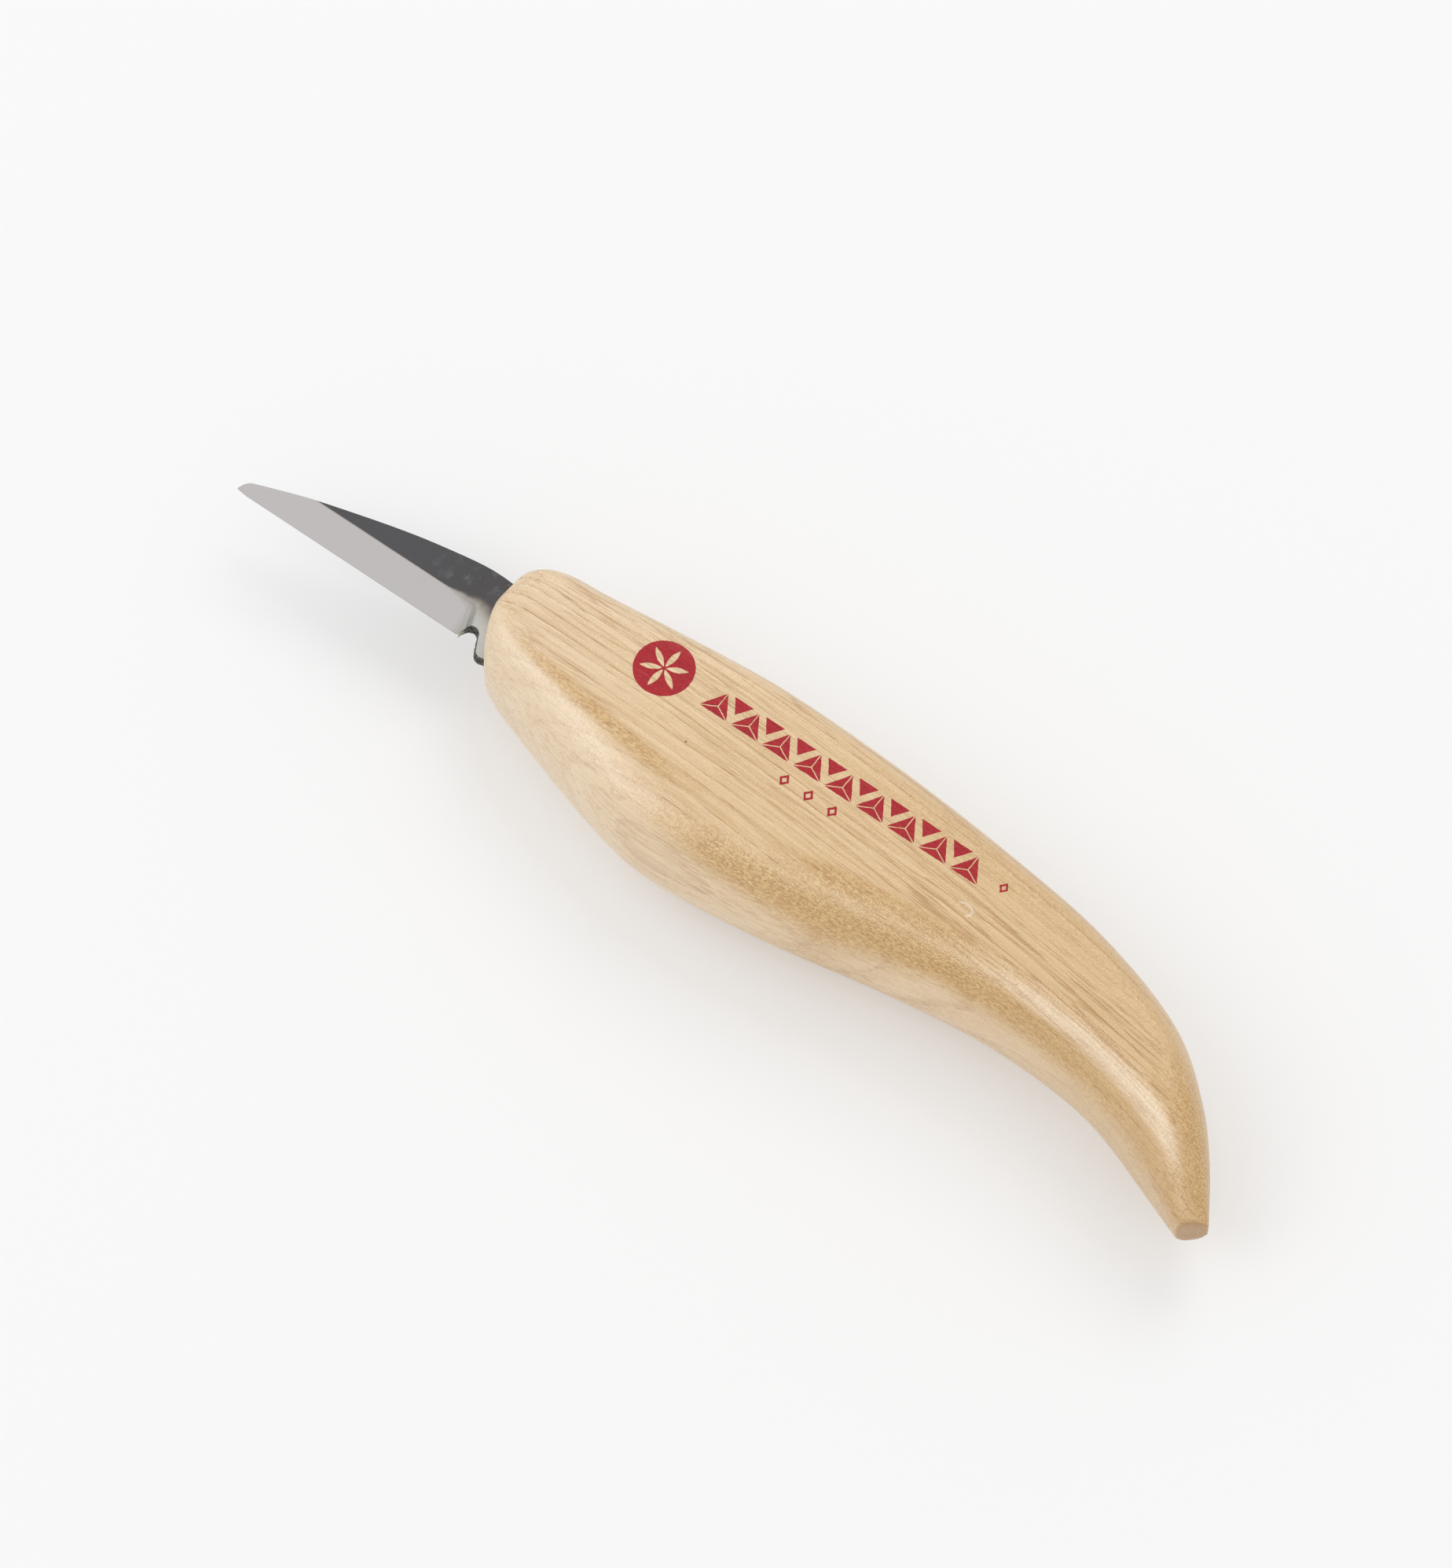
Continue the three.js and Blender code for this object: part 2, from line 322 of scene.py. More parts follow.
def inside(points, outlines):
    """Which of the points lie within an odd number of the outlines."""
    x, y = points.T
    odd = np.zeros(len(points), bool)
    for outline in outlines:
        for a, b in zip(outline, outline[1:] + outline[:1]):
            if a.y != b.y:
                cut = a.x + (y - a.y) * (b.x - a.x) / (b.y - a.y)
                odd ^= ((a.y > y) != (b.y > y)) & (x < cut)
    return odd


def lattice(low, high, spacing):
    """Evenly spread points over a rectangle, in staggered rows."""
    rows = np.arange(low[1], high[1], spacing * ROW_STEP)
    columns = np.arange(low[0], high[0], spacing)
    x, y = np.meshgrid(columns, rows)
    x[1::2] += spacing / 2
    return np.column_stack([x.ravel(), y.ravel()])


def fill(outlines, within, creases=()):
    """Triangles that fill the outlines, with some points within them and edges along
    the creases. An outline inside another is a hole."""
    rims = np.array([tuple(p) for outline in outlines for p in outline])
    within = within[inside(within, outlines)]
    gap = np.array([np.abs(rims - p).sum(axis=1).min() for p in within])
    within = within[gap > RIM_GAP]
    corners = []
    edges = []
    for line in list(outlines) + list(creases):
        first = len(corners)
        corners += line
        edges += [(i, i + 1) for i in range(first, len(corners) - 1)]
        if line in outlines:
            edges.append((len(corners) - 1, first))
    corners += [Vector(p) for p in within]
    made = delaunay_2d_cdt(corners, edges, [], 0, 1e-6)
    points = np.array([tuple(p) for p in made[0]])
    triangles = np.array(made[2])
    middles = points[triangles].mean(axis=1)
    return points, triangles[inside(middles, outlines)]


def slab_mesh(name, points, triangles, top, bottom, rows=1):
    """A closed mesh over a filled pattern, from bottom to top, with so many rows of
    quads down its walls. Also gives each ring of vertices between two rows, by the
    number of the rim's vertex above, and the edges of the rim."""
    used = np.unique(triangles)
    number = np.full(len(points), -1)
    number[used] = np.arange(len(used))
    points, top, bottom, triangles = points[used], top[used], bottom[used], number[triangles]
    n = len(points)
    directed = {(t[i], t[(i + 1) % 3]) for t in triangles.tolist() for i in range(3)}
    rim_edges = sorted(e for e in directed if (e[1], e[0]) not in directed)
    rim = sorted({v for e in rim_edges for v in e})
    rings = [{v: v for v in rim}]
    verts = [(x, y, z) for (x, y), z in zip(points, top)]
    verts += [(x, y, z) for (x, y), z in zip(points, bottom)]
    for row in range(1, rows):
        rings.append({v: len(verts) + i for i, v in enumerate(rim)})
        share = row / rows
        verts += [(*points[v], top[v] + (bottom[v] - top[v]) * share) for v in rim]
    rings.append({v: v + n for v in rim})
    faces = triangles.tolist() + (triangles[:, ::-1] + n).tolist()
    for above, below in zip(rings, rings[1:]):
        faces += [(above[a], below[a], below[b], above[b]) for a, b in rim_edges]
    mesh = bpy.data.meshes.new(name)
    mesh.from_pydata((np.array(verts) * MM).tolist(), [], faces)
    return mesh, rings[1:-1], rim_edges


def add_piece(name, mesh, material, slot, *replaced):
    piece = bpy.data.objects.new(name, mesh)
    bpy.context.scene.collection.objects.link(piece)
    mesh.materials.clear()
    mesh.materials.append(material)
    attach(piece, "root")
    if replaced:
        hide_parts(*replaced)
    return piece


# ---------------------------------------------------------------------------- handle

HANDLE_LOW, HANDLE_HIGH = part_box("handle")
FINE_VOXEL = 0.37 * MM
CROWN = 0.15 * MM
NOSE_SOFT_LENGTH = 3.0 * MM
BUTT_CRISP_LENGTH = 9.0 * MM
OUTLINE_BINS = 160

# The figure follows the belly's curve there, by a share of how far the curve is from
# a level line. DRIFT_FROM is where across the handle that starts.
BELLY_LEVEL = -10 * MM
DRIFT_FROM = -0.25
DRIFT_OVER = 0.7
DRIFT_SHARE = 0.45


def voxel_mesh(node, voxel):
    """The CAD node's shape as an even mesh of small quads."""
    carrier = bpy.data.objects.new("carrier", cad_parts[node].data.copy())
    bpy.context.scene.collection.objects.link(carrier)
    remesh = carrier.modifiers.new("remesh", "REMESH")
    remesh.mode = "VOXEL"
    remesh.voxel_size = voxel
    bpy.context.view_layer.update()
    graph = bpy.context.evaluated_depsgraph_get()
    mesh = bpy.data.meshes.new_from_object(carrier.evaluated_get(graph))
    bpy.data.objects.remove(carrier)
    return mesh


class Outline:
    """The handle's two sides in plan, read from its mesh: where it lies across, as
    -1 on the belly side to 1 on the spine side."""

    def __init__(self, points):
        places = np.linspace(HANDLE_LOW.x, HANDLE_HIGH.x, OUTLINE_BINS + 1)
        which = np.clip(np.digitize(points[:, 0], places) - 1, 0, OUTLINE_BINS - 1)
        low = np.full(OUTLINE_BINS, np.inf)
        high = np.full(OUTLINE_BINS, -np.inf)
        np.minimum.at(low, which, points[:, 1])
        np.maximum.at(high, which, points[:, 1])
        self.x = (places[:-1] + places[1:]) / 2
        self.middle = (low + high) / 2
        self.half = (high - low) / 2

    def belly(self, x):
        return np.interp(x, self.x, self.middle - self.half)

    def across(self, x, y):
        middle = np.interp(x, self.x, self.middle)
        return (y - middle) / np.interp(x, self.x, self.half)


# Patches of golden wood and painted shade, and of pale wood, painted light and painted
# highlights. Each is a list of places along the handle, with how far across it the patch's middle
# lies there, its half-width and its strength.
GOLD_AND_SHADE_PATCHES = [
    [(-40, -0.47, 0.07, 0), (-31, -0.46, 0.08, 0.8), (-12, -0.42, 0.08, 0.9),
     (-2, -0.42, 0.08, 0)],
    [(-10, -0.72, 0.10, 0), (2, -0.76, 0.13, 1), (20, -0.84, 0.16, 1), (35, -0.77, 0.14, 1),
     (50, -0.82, 0.13, 0.8), (72, -0.84, 0.20, 0.5), (84, -0.80, 0.3, 0.4)],
    [(6, -0.56, 0.10, 0), (17, -0.52, 0.13, 0.9), (32, -0.50, 0.12, 0.8), (42, -0.46, 0.10, 0)],
    # These two are partly golden figure and partly painted shade, where the tail's facet and the
    # spine side's rounding turn away from the light
    [(64, 0.20, 0.30, 0), (71, 0.42, 0.50, 0.7), (77, 0.40, 0.60, 0.8), (84, 0.3, 1.0, 0.8)],
    [(2, 0.60, 0.15, 0), (24, 0.60, 0.25, 0.45), (60, 0.60, 0.25, 0.4), (76, 0.5, 0.3, 0.3)],
]
PALE_AND_HIGHLIGHT_PATCHES = [
    # Lower belly wall: partly pale wood, partly painted light
    [(-44, -0.95, 0.35, 1), (-20, -1.0, 0.34, 1), (4, -1.0, 0.18, 0.75), (40, -1.0, 0.12, 0.6),
     (84, -1.0, 0.12, 0.5)],
    # A painted highlight along the spine side's rounded edge
    [(-44, 1.0, 0.10, 0.6), (84, 1.0, 0.10, 0.6)],
    # A painted highlight widening the strip of shine on the belly's rounding near the butt
    [(36, -0.62, 0.07, 0), (46, -0.58, 0.10, 0.6), (59, -0.56, 0.14, 0.8), (67, -0.46, 0.18, 0.9),
     (73, -0.32, 0.18, 0.9), (77, -0.30, 0.12, 0)],
    # A painted highlight on the belly's rounding near the nose
    [(-44, -0.62, 0.16, 1), (-20, -0.66, 0.14, 0.7), (2, -0.6, 0.1, 0)],
]


def patches(listed, x, across):
    """How strongly the patches show at places on the handle."""
    total = np.zeros(len(x))
    for patch in listed:
        places, middles, widths, strengths = zip(*patch)
        off = (across - np.interp(x, places, middles)) / np.interp(x, places, widths)
        total += np.interp(x, places, strengths) * np.exp(-(off**4))
    return np.clip(total, 0, 1)


def handle_mesh():
    """The handle, smoothed until no facet shows, with its nose rounded over and its
    two flats very slightly crowned, as sanding leaves them."""
    mesh = voxel_mesh("handle", FINE_VOXEL)
    points = read_points(mesh)
    relax(mesh, np.full(len(points), 0.5), 3)
    from_butt = (HANDLE_HIGH.x - BUTT_CRISP_LENGTH - points[:, 0]) / BUTT_CRISP_LENGTH
    relax(mesh, 0.5 * np.clip(from_butt, 0.1, 1), 8)
    near_nose = 1 - (points[:, 0] - HANDLE_LOW.x - NOSE_SOFT_LENGTH) / NOSE_SOFT_LENGTH
    relax(mesh, 0.5 * np.clip(near_nose, 0, 1), 8)
    restore_bulk(mesh, "handle", 20)
    points = read_points(mesh)
    outline = Outline(points)
    across = outline.across(points[:, 0], points[:, 1])
    rise = points[:, 2] - CENTRE.z
    points[:, 2] -= rise / (HANDLE_HIGH.z - CENTRE.z) * CROWN * across**2
    points[:, 2] = np.clip(points[:, 2], HANDLE_LOW.z, HANDLE_HIGH.z)
    write_points(mesh, points)
    near_belly = ease(np.clip((DRIFT_FROM - across) / DRIFT_OVER, 0, 1))
    drift = near_belly * (outline.belly(points[:, 0]) - BELLY_LEVEL) * DRIFT_SHARE
    save_layer(mesh, "drift", drift / MM)
    save_layer(mesh, "gold_and_shade", patches(GOLD_AND_SHADE_PATCHES, points[:, 0] / MM, across))
    save_layer(mesh, "pale", patches(PALE_AND_HIGHLIGHT_PATCHES, points[:, 0] / MM, across))
    shade_smooth(mesh)
    return mesh


# Ash, as linear colours
PALE_WOOD = (0.78, 0.57, 0.335)
TAN_WOOD = (0.62, 0.40, 0.185)
LINE_WOOD = (0.44, 0.235, 0.085)
GOLD_WOOD = (0.47, 0.255, 0.08)
GLINT_WOOD = (0.74, 0.50, 0.215)
PORE_WOOD = (0.34, 0.17, 0.06)
SPECK_WOOD = (0.09, 0.045, 0.02)
PALE_AND_SHEEN_WOOD = (0.86, 0.69, 0.49)
END_WOOD = (0.415, 0.235, 0.11)
DENT_HIGHLIGHT = (0.95, 0.86, 0.70)

# The tree's middle, seen along the handle, and how its figure bends along it
PITH_Y = 55
PITH_Z = -5
BEND = 0.04
BEND_CHANGE = -0.0008
RING_WIDTH = 1.45
LACQUER_DEPTH = 0.10
END_FACING = (0.72, -0.69, 0)


def grain(shader):
    """The wood's figure at a point: which growth ring it is in and how far through
    it, and the pores and fibres that go with it."""
    x, y, z = shader.split(shader.place())
    bend = shader.math("ADD", shader.math("MULTIPLY", x, BEND_CHANGE), BEND)
    y = shader.math("SUBTRACT", y, shader.math("MULTIPLY", bend, x))
    y = shader.math("SUBTRACT", y, shader.attribute("drift"))
    straight = shader.node("ShaderNodeCombineXYZ", {0: x, 1: y, 2: z})
    spoke = shader.vector("SUBTRACT", straight, (0, PITH_Y, PITH_Z))
    radius = shader.length(shader.vector("MULTIPLY", spoke, (0, 1, 1)))
    wander = shader.noise(straight, (0.014, 0.06, 0.06), 2)
    radius = shader.math("ADD", radius, shader.math("MULTIPLY", wander, 2.4))
    ripple = shader.noise(straight, (0.16, 1.1, 1.1), 3, 0.6)
    radius = shader.math("ADD", radius, shader.math("MULTIPLY", ripple, 0.42))
    turns = shader.math("DIVIDE", radius, RING_WIDTH)
    slower = shader.math("MULTIPLY", turns, 0.45)
    uneven = shader.one_dimensional("ShaderNodeTexNoise", slower, Scale=1.0, Detail=1.0)
    turns = shader.math("ADD", turns, shader.math("MULTIPLY", uneven, 2.2))
    return {
        "x": x,
        "turns": turns,
        "ring": shader.math("FRACT", turns),
        "pores": shader.noise(straight, (0.35, 7.5, 7.5), 2.5, 0.6),
        "fibre": shader.noise(straight, (0.09, 3.4, 3.4), 3, 0.65),
        "slow": shader.noise(straight, (0.02, 0.13, 0.13), 2),
        "speckle": shader.noise(straight, (1.7, 4.2, 4.2), 3.0, 0.65),
        "hair": shader.noise(straight, (0.03, 1.1, 1.1), 3.5, 0.6),
    }


def relief(shader):
    """The fine unevenness that the lacquer keeps from the pores and the fibres, and
    its own short creases, mostly across them."""
    fibre = shader.noise(shader.place(), (0.12, 2.4, 2.4), 2.0, 0.5)
    wrinkle = shader.noise(shader.place(), (2.4, 1.3, 1.3), 2.5, 0.6)
    crease = shader.math("ABSOLUTE", shader.math("SUBTRACT", wrinkle, 0.5))
    height = shader.math("ADD", shader.math("MULTIPLY", fibre, 0.5),
                         shader.math("MULTIPLY", crease, 2.4))
    return shader.bump(height, LACQUER_DEPTH)


# Small marks on the upper flat: a faint dented ring, its rim painted pale as a painted highlight,
# and a dark speck
DENT = (33.0, 3.1)
DENT_SIZE = (1.15, 0.8)
DENT_DEPTH = 0.06
SPECK = (-9.6, -2.3)
SPECK_SIZE = (0.17, 0.17)


def mark_distance(shader, centre, size):
    """How far a point on the upper flat is from a mark's centre, in its own sizes."""
    moved = shader.vector("SUBTRACT", shader.place(), (*centre, CAD_HIGH.z / MM))
    return shader.length(shader.vector("DIVIDE", moved, (*size, 2.0)))


def end_grain(shader, x):
    """Where the cut end of the butt is, by which way it faces."""
    normal = shader.node("ShaderNodeNewGeometry", output=1)
    facing = shader.node("ShaderNodeVectorMath", {0: normal, 1: END_FACING}, 1,
                         operation="DOT_PRODUCT")
    return shader.product(shader.step(facing, 0.6, 0.9, 0.0, 0.7), shader.step(x, 77, 79))


def dented_ring(shader):
    """A thin ring, broken here and there."""
    off = shader.math("SUBTRACT", mark_distance(shader, DENT, DENT_SIZE), 1.0)
    ring = shader.step(shader.math("ABSOLUTE", off), 0.0, 0.3, 1.0, 0.0)
    broken = shader.noise(shader.place(), (0.7, 0.7, 0.7), 2)
    return shader.product(ring, shader.step(broken, 0.42, 0.55))


def ash_material():
    shader = Shader("lacquered_ash")
    seen = grain(shader)
    patch = shader.attribute("gold_and_shade")
    pale = shader.attribute("pale")
    calm = shader.scale(pale, 0, 1, 1.0, 0.3)

    # Paler towards the nose and darker towards the butt: partly the wood's own tone, partly a
    # painted fall-off of the light along the handle. The pale patches add pale wood, painted
    # light and painted highlights. Darker through each ring
    pale_and_sheen = shader.math("MAXIMUM", shader.scale(seen["x"], -44, 2, 0.8, 0.0), pale)
    base = shader.blend(shader.scale(seen["x"], 5, 55, 0.0, 0.35), PALE_WOOD, TAN_WOOD)
    base = shader.blend(pale_and_sheen, base, PALE_AND_SHEEN_WOOD)
    late = shader.product(shader.math("POWER", seen["ring"], 1.6), calm, 0.4)
    colour = shader.blend(late, base, TAN_WOOD)

    # The open start of each ring is edged by a thin line of pores
    early = shader.product(shader.step(seen["ring"], 0.0, 0.05),
                           shader.step(seen["ring"], 0.07, 0.26, 1.0, 0.0))
    which = shader.one_dimensional("ShaderNodeTexWhiteNoise",
                                   shader.math("FLOOR", seen["turns"]))
    broken = shader.step(seen["fibre"], 0.34, 0.56, 0.3, 1.0)
    line = shader.product(early, shader.scale(which, 0, 1, 0.25, 0.9), broken, calm)
    colour = shader.blend(line, colour, LINE_WOOD)

    # Thin threads where a slow noise crosses its middle, here and there
    hair = shader.math("ABSOLUTE", shader.math("SUBTRACT", seen["hair"], 0.5))
    hair = shader.product(shader.step(hair, 0.006, 0.04, 1.0, 0.0),
                          shader.step(seen["slow"], 0.38, 0.62, 0.25, 0.8), calm)
    colour = shader.blend(hair, colour, LINE_WOOD)

    # The golden patches, partly painted shade on the tail's facet and the spine side, streaks
    # along the grain, and open pores
    mottle = shader.blend(shader.step(seen["speckle"], 0.38, 0.60), GLINT_WOOD, GOLD_WOOD)
    colour = shader.blend(shader.math("MULTIPLY", patch, 0.8), colour, mottle)
    streak = shader.product(shader.step(seen["fibre"], 0.42, 0.64, 0.0, 0.25), calm)
    colour = shader.blend(streak, colour, TAN_WOOD)
    share = shader.math("MAXIMUM", early, shader.math("MULTIPLY", patch, 0.7))
    pores = shader.product(shader.step(seen["pores"], 0.53, 0.66),
                           shader.scale(share, 0, 1, 0.06, 0.65), calm)
    colour = shader.blend(pores, colour, PORE_WOOD)

    colour = shader.blend(end_grain(shader, seen["x"]), colour, END_WOOD)
    speck = shader.step(mark_distance(shader, SPECK, SPECK_SIZE), 0.6, 1.1, 0.9, 0.0)
    colour = shader.blend(speck, colour, SPECK_WOOD)
    dent = dented_ring(shader)
    # The dent's rim painted pale: a painted highlight
    colour = shader.blend(shader.math("MULTIPLY", dent, 0.5), colour, DENT_HIGHLIGHT)
    sunk = shader.math("MULTIPLY", dent, -1.0)
    return shader.finish(
        Base_Color=colour,
        Roughness=shader.scale(seen["speckle"], 0, 1, 0.2, 0.32),
        IOR=1.5,
        Normal=shader.bump(sunk, DENT_DEPTH, relief(shader)),
    )


# ----------------------------------------------------------------------------- blade

BLADE_LOW, BLADE_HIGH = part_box("blade_with_tang")

# The bevel's width, half the CAD edge's thickness, how far the edge is carried on from
# there, and the length and the lean of the bevel's run-out at the heel
BEVEL_WIDTH = 4.3
EDGE_HALF = 0.1
EDGE_REACH = 0.3
RUN_OUT = 1.1
RUN_OUT_LEAN = 1.6

# How far apart the mesh's points are round the rim, where the blade shows, where it
# doesn't (from SHOWN_INSIDE past the nose), and near the heel
RIM_SPACING = 0.2
SHOWN_SPACING = 0.4
HIDDEN_SPACING = 1.5
HEEL_SPACING = 0.13
SHOWN_INSIDE = 3
HEEL_BEFORE = 2.5
HEEL_BEHIND = 1.5
HEEL_ABOVE = 5

# The walls stand out by a little, and by more and unevenly where they were punched
WALL_ROWS = 5
RIM_SOFTNESS = 0.04
PUNCH_COARSE = 0.09
PUNCH_FINE = 0.05
PUNCH_LEAN = 0.11


def blade_facts():
    """The tip and the cutting edge's direction, found in the CAD node's own mesh."""
    points = read_points(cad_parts["blade_with_tang"].data)
    tip = Vector(points[points[:, 0].argmin()])
    thin = np.abs(points[:, 2] - CENTRE.z) < 1.5 * EDGE_HALF * MM
    out_of_handle = points[:, 0] < HANDLE_LOW.x
    edge = points[thin & out_of_handle]
    heel = Vector(edge[edge[:, 0].argmax()])
    return tip, math.atan2(heel.y - tip.y, heel.x - tip.x), (heel - tip).xy.length / MM


TIP, EDGE_TURN, EDGE_LENGTH = blade_facts()
ALONG_EDGE = Vector((math.cos(EDGE_TURN), math.sin(EDGE_TURN)))
UP_FROM_EDGE = Vector((-ALONG_EDGE.y, ALONG_EDGE.x))


def plan_outline(node):
    """The outline of a flat CAD node from above, in millimetres and anticlockwise."""
    shape = bmesh.new()
    shape.from_mesh(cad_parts[node].data)
    bmesh.ops.remove_doubles(shape, verts=shape.verts, dist=1e-7)
    after = {}
    for face in shape.faces:
        if abs(face.normal.z) < 0.02:
            for loop in face.loops:
                if any(f.normal.z > 0.02 for f in loop.edge.link_faces):
                    after[loop.link_loop_next.vert] = loop.vert
    first = min(after, key=lambda v: v.co.x)
    line = [first]
    while after[line[-1]] is not first:
        line.append(after[line[-1]])
    outline = [v.co.xy / MM for v in line]
    shape.free()
    return outline


def edge_place(point):
    """A place in plan as millimetres along the cutting edge and up from it."""
    moved = Vector((point[0], point[1])) - TIP.xy / MM
    return moved.dot(ALONG_EDGE), moved.dot(UP_FROM_EDGE)


def plan_place(along, up):
    """The place in plan, in millimetres, that edge_place turns into along and up."""
    return TIP.xy / MM + ALONG_EDGE * along + UP_FROM_EDGE * up


def half_thickness(along, up):
    """Half the blade's thickness: the bevel's slope, the flat above it, and the soft
    run-out where the grinding ends at the heel."""
    full = (BLADE_HIGH.z - CENTRE.z) / MM
    bevel = min(full, EDGE_HALF + (full - EDGE_HALF) * max(up, -EDGE_REACH) / BEVEL_WIDTH)
    start = EDGE_LENGTH + 0.5 - RUN_OUT_LEAN * up / BEVEL_WIDTH
    share = min(max((along - start) / RUN_OUT, 0), 1)
    return bevel + (full - bevel) * ease(share)


def is_punched(along, up):
    """Whether a place on the outline is in the notch or round the stub."""
    return along > EDGE_LENGTH - 0.1 and up < 2.0


def keen_outline():
    """The blade's outline in plan, with its cutting edge carried on to be keen."""
    outline = []
    for point in spread(plan_outline("blade_with_tang"), RIM_SPACING):
        along, up = edge_place(point)
        keen = up < 0.02 and along < EDGE_LENGTH + 0.02
        reach = EDGE_REACH * min(1, 0.25 + along / 2) if keen else 0
        outline.append(point - UP_FROM_EDGE * reach)
    return outline


def soften_walls(shape, rings, rim_edges):
    """Moves the rows between the top and the bottom of the walls outwards: a little,
    and unevenly where the steel was punched."""
    out = {}
    for a, b in rim_edges:
        run = (shape.verts[b].co - shape.verts[a].co).xy
        side = Vector((run.y, -run.x)).normalized()
        for v in (a, b):
            out[v] = out.get(v, Vector((0, 0))) + side
    for row, ring in enumerate(rings):
        for v, moved in ring.items():
            vert = shape.verts[moved]
            along, up = edge_place(vert.co.xy / MM)
            amount = RIM_SOFTNESS
            if is_punched(along, up):
                spot = vert.co / MM
                amount += PUNCH_COARSE * noise.noise(spot * 3.1)
                amount += PUNCH_FINE * noise.noise(spot * 7.7)
                amount += PUNCH_LEAN * row
            elif up < 0.1:
                amount = 0
            vert.co.xy += out[v].normalized() * amount * MM


def crease(shape):
    """Marks the rims and the bevels' shoulders as sharp."""
    for edge in shape.edges:
        flat_sides = [abs(f.normal.z) > 0.6 for f in edge.link_faces]
        edge.smooth = all(flat_sides) or not any(flat_sides)
        ends = [edge_place(v.co.xy / MM) for v in edge.verts]
        if all(abs(up - BEVEL_WIDTH) < 0.01 and along < EDGE_LENGTH - 2 for along, up in ends):
            edge.smooth = False


def blade_mesh():
    """The blade over the CAD node's outline, with its bevels carried on to a keen
    edge, and the ragged walls that punching leaves round the notch and the stub."""
    low, high = BLADE_LOW / MM, BLADE_HIGH / MM
    shown = HANDLE_LOW.x / MM + SHOWN_INSIDE
    heel = plan_place(EDGE_LENGTH, 0)
    within = np.vstack([
        lattice((low.x, low.y), (shown, high.y), SHOWN_SPACING),
        lattice((shown, low.y), (high.x, high.y), HIDDEN_SPACING),
        lattice((heel.x - HEEL_BEFORE, heel.y),
                (heel.x + HEEL_BEHIND, heel.y + HEEL_ABOVE), HEEL_SPACING),
    ])
    shoulder = [
        plan_place(along, BEVEL_WIDTH)
        for along in np.arange(8, EDGE_LENGTH - 1.5, SHOWN_SPACING)
    ]
    points, triangles = fill([keen_outline()], within, [shoulder])
    half = np.array([half_thickness(*edge_place(p)) for p in points])
    middle = CENTRE.z / MM
    mesh, rings, rim_edges = slab_mesh(
        "blade", points, triangles, middle + half, middle - half, WALL_ROWS
    )
    shape = bmesh.new()
    shape.from_mesh(mesh)
    shape.verts.ensure_lookup_table()
    shape.normal_update()
    soften_walls(shape, rings, rim_edges)
    crease(shape)
    shape.to_mesh(mesh)
    shape.free()
    shade_smooth(mesh)
    return mesh


# Steel, as linear colours
BEVEL_STEEL = (0.492, 0.468, 0.463)
GROUND_STEEL = (0.35, 0.338, 0.315)
GROUND_BRIGHT = (0.42, 0.408, 0.38)
GROUND_LINE = (0.14, 0.135, 0.13)
SCALE_STEEL = (0.073, 0.073, 0.077)
SCALE_WORN = (0.112, 0.117, 0.130)
SCALE_HEEL = (0.062, 0.055, 0.052)
NICK_STEEL = (0.4, 0.4, 0.41)
TINT_STEEL = (0.20, 0.165, 0.13)
TORN_DARK = (0.035, 0.033, 0.03)
TORN_BRIGHT = (0.25, 0.24, 0.22)


def past_shoulder(shader, place, along, up):
    """How far a place is past the line where the bright bevel ends and the dark scale
    begins. The line is crisp near the tip, and soft and uneven near the handle."""
    cloud = shader.noise(place, (0.5, 0.5, 0.5), 3, 0.55)
    near_handle = shader.step(along, EDGE_LENGTH - 6, EDGE_LENGTH + 1.5)
    wobble = shader.math("MULTIPLY", shader.math("SUBTRACT", cloud, 0.5),
                         shader.scale(near_handle, 0, 1, 0.05, 1.4))
    beyond = shader.math("MAXIMUM", shader.math("SUBTRACT", along, EDGE_LENGTH - 0.6), 0.0)
    drop = shader.math("MULTIPLY", shader.math("POWER", beyond, 2.0), 0.12)
    limit = shader.math("SUBTRACT", BEVEL_WIDTH, drop)
    past = shader.math("SUBTRACT", shader.math("ADD", up, wobble), limit)
    return shader.math("DIVIDE", past, shader.scale(near_handle, 0, 1, 0.1, 1.5))


def scale_tone(shader, place, along_edge, along):
    """The dark scale the steel kept from its hardening, with smudges and nicks."""
    smudge = shader.noise(place, (0.55, 0.55, 0.55), 4, 0.6)
    handled = shader.step(along, EDGE_LENGTH - 14, EDGE_LENGTH - 4)
    worn = shader.product(shader.step(smudge, 0.50, 0.68), handled)
    tone = shader.blend(worn, SCALE_STEEL, SCALE_WORN)
    tone = shader.blend(shader.scale(along, 22, EDGE_LENGTH + 4, 0, 0.6), tone, SCALE_HEEL)
    nick = shader.noise(along_edge, (1.6, 4.5, 1.0), 2, 0.5)
    nick = shader.product(shader.step(nick, 0.70, 0.74), handled, 0.7)
    return shader.blend(nick, tone, NICK_STEEL)


def ground_tone(shader, place, along, up):
    """The bright bevel, and the duller run-out behind it with its grinding lines."""
    tone = shader.blend(shader.noise(place, (0.3, 0.3, 0.3), 2), GROUND_STEEL, GROUND_BRIGHT)
    bevel = shader.step(along, EDGE_LENGTH - 1.6, EDGE_LENGTH + 0.4, 1.0, 0.0)
    tone = shader.blend(bevel, tone, BEVEL_STEEL)
    lean = shader.math("ADD", along, shader.math("MULTIPLY", up, 0.35))
    run = shader.node("ShaderNodeCombineXYZ", {0: lean, 1: up, 2: 0.0})
    fine = shader.noise(run, (9.0, 0.25, 1.0), 3, 0.7)
    rear = shader.product(shader.step(lean, EDGE_LENGTH - 0.2, EDGE_LENGTH + 0.5),
                          shader.step(lean, EDGE_LENGTH + 0.9, EDGE_LENGTH + 1.6, 1.0, 0.0),
                          shader.step(fine, 0.5, 0.66, 0.0, 0.7))
    return shader.blend(rear, tone, GROUND_LINE)


